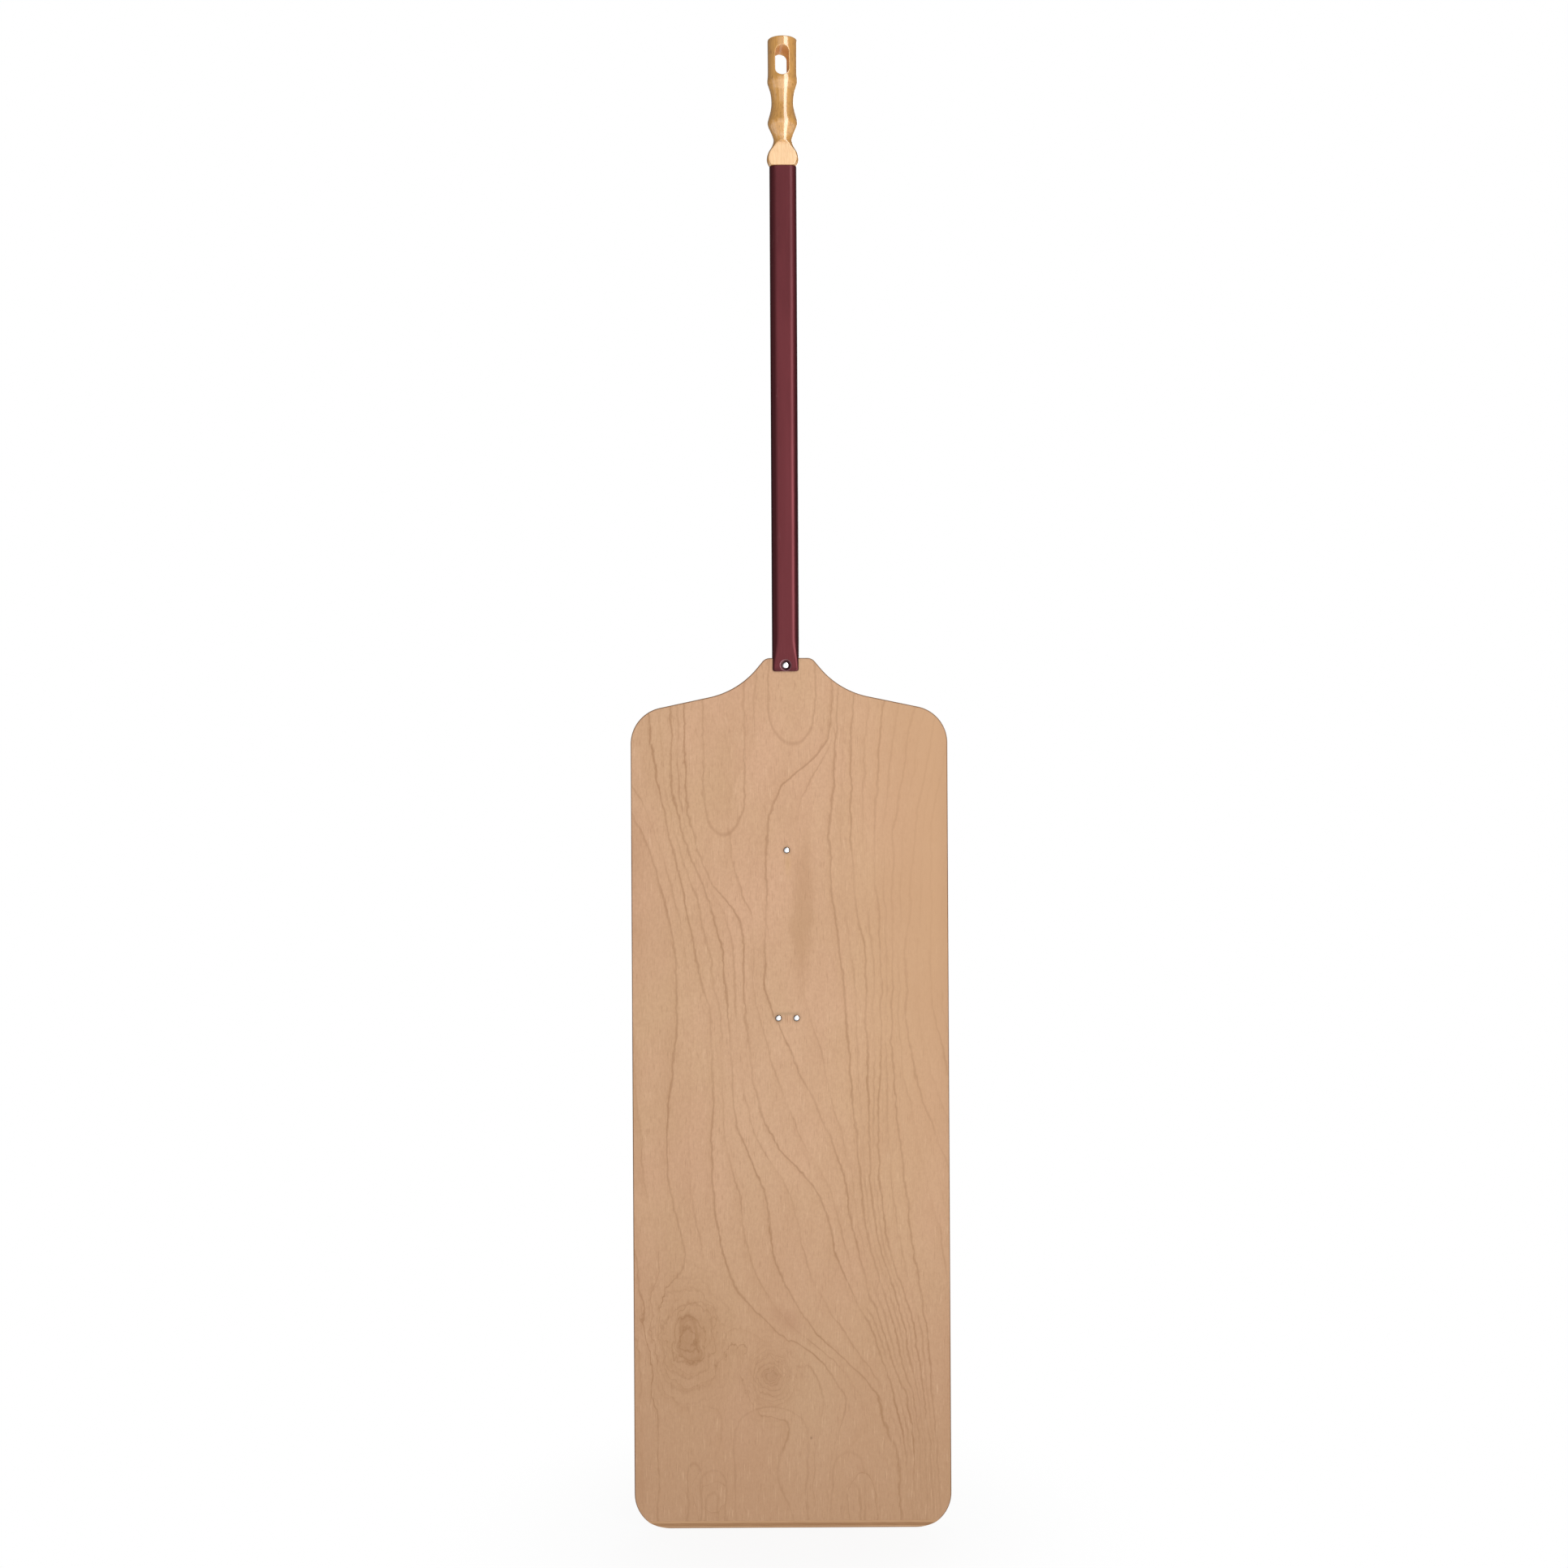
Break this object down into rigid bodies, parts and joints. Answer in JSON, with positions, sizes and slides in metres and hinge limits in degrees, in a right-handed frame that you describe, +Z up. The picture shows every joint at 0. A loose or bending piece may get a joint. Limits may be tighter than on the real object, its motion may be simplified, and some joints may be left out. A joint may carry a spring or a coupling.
{
  "type": "baker's peel",
  "caption": "Long-handled baker's peel: flat plywood blade with a bevelled tip, riveted to a flat-oval aluminium handle that ends in a turned wooden grip with a hanging slot",
  "frame": {"origin": "on the grip's axis at the top of the hanging slot, where a peg bears", "axes": "+Z up along the handle towards the grip's end, +X to the right across the blade, -Y out of the blade's loading face"},
  "size_m": [0.3, 0.0288, 1.411],
  "materials": {
    "plywood": "sanded, unfinished veneer",
    "anodised_aluminium": "satin dark red anodised",
    "varnished_wood": "gloss clear varnish",
    "bare_aluminium": "bright",
    "bright_steel": "bright"
  },
  "bodies": {
    "root": {"blade": "plywood", "handle_tube": "anodised_aluminium", "grip": "varnished_wood", "grip_pin": "bright_steel", "neck_rivet": "bare_aluminium", "middle_rivet": "bare_aluminium", "tip_rivet_left": "bare_aluminium", "tip_rivet_right": "bare_aluminium"}
  },
  "joints": []
}
